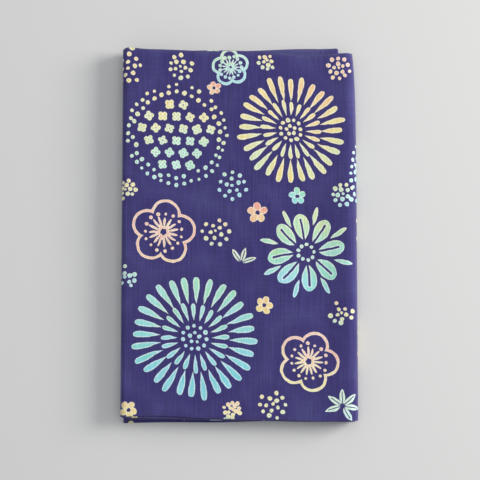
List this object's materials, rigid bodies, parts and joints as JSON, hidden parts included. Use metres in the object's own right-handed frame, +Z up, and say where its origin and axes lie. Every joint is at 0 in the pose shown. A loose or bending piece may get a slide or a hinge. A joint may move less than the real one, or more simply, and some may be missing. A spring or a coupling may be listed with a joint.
{
  "type": "folded tenugui towel",
  "caption": "Thin printed cotton hand towel, folded in half across its width and then into a flat rectangular stack of doubled panels with a rounded spine on one long side.",
  "frame": {"origin": "middle of the folded stack's box, on its flat underside", "axes": "+X towards the rounded spine of the last fold, +Y along the spine towards the two woven edges, +Z up out of the top panel"},
  "size_m": [0.1134, 0.18, 0.0107],
  "materials": {
    "dyed_cotton": "matt plain-woven cotton, dyed violet-blue with small pale flower roundels"
  },
  "bodies": {
    "root": {"towel_cloth": "dyed_cotton"}
  },
  "joints": []
}
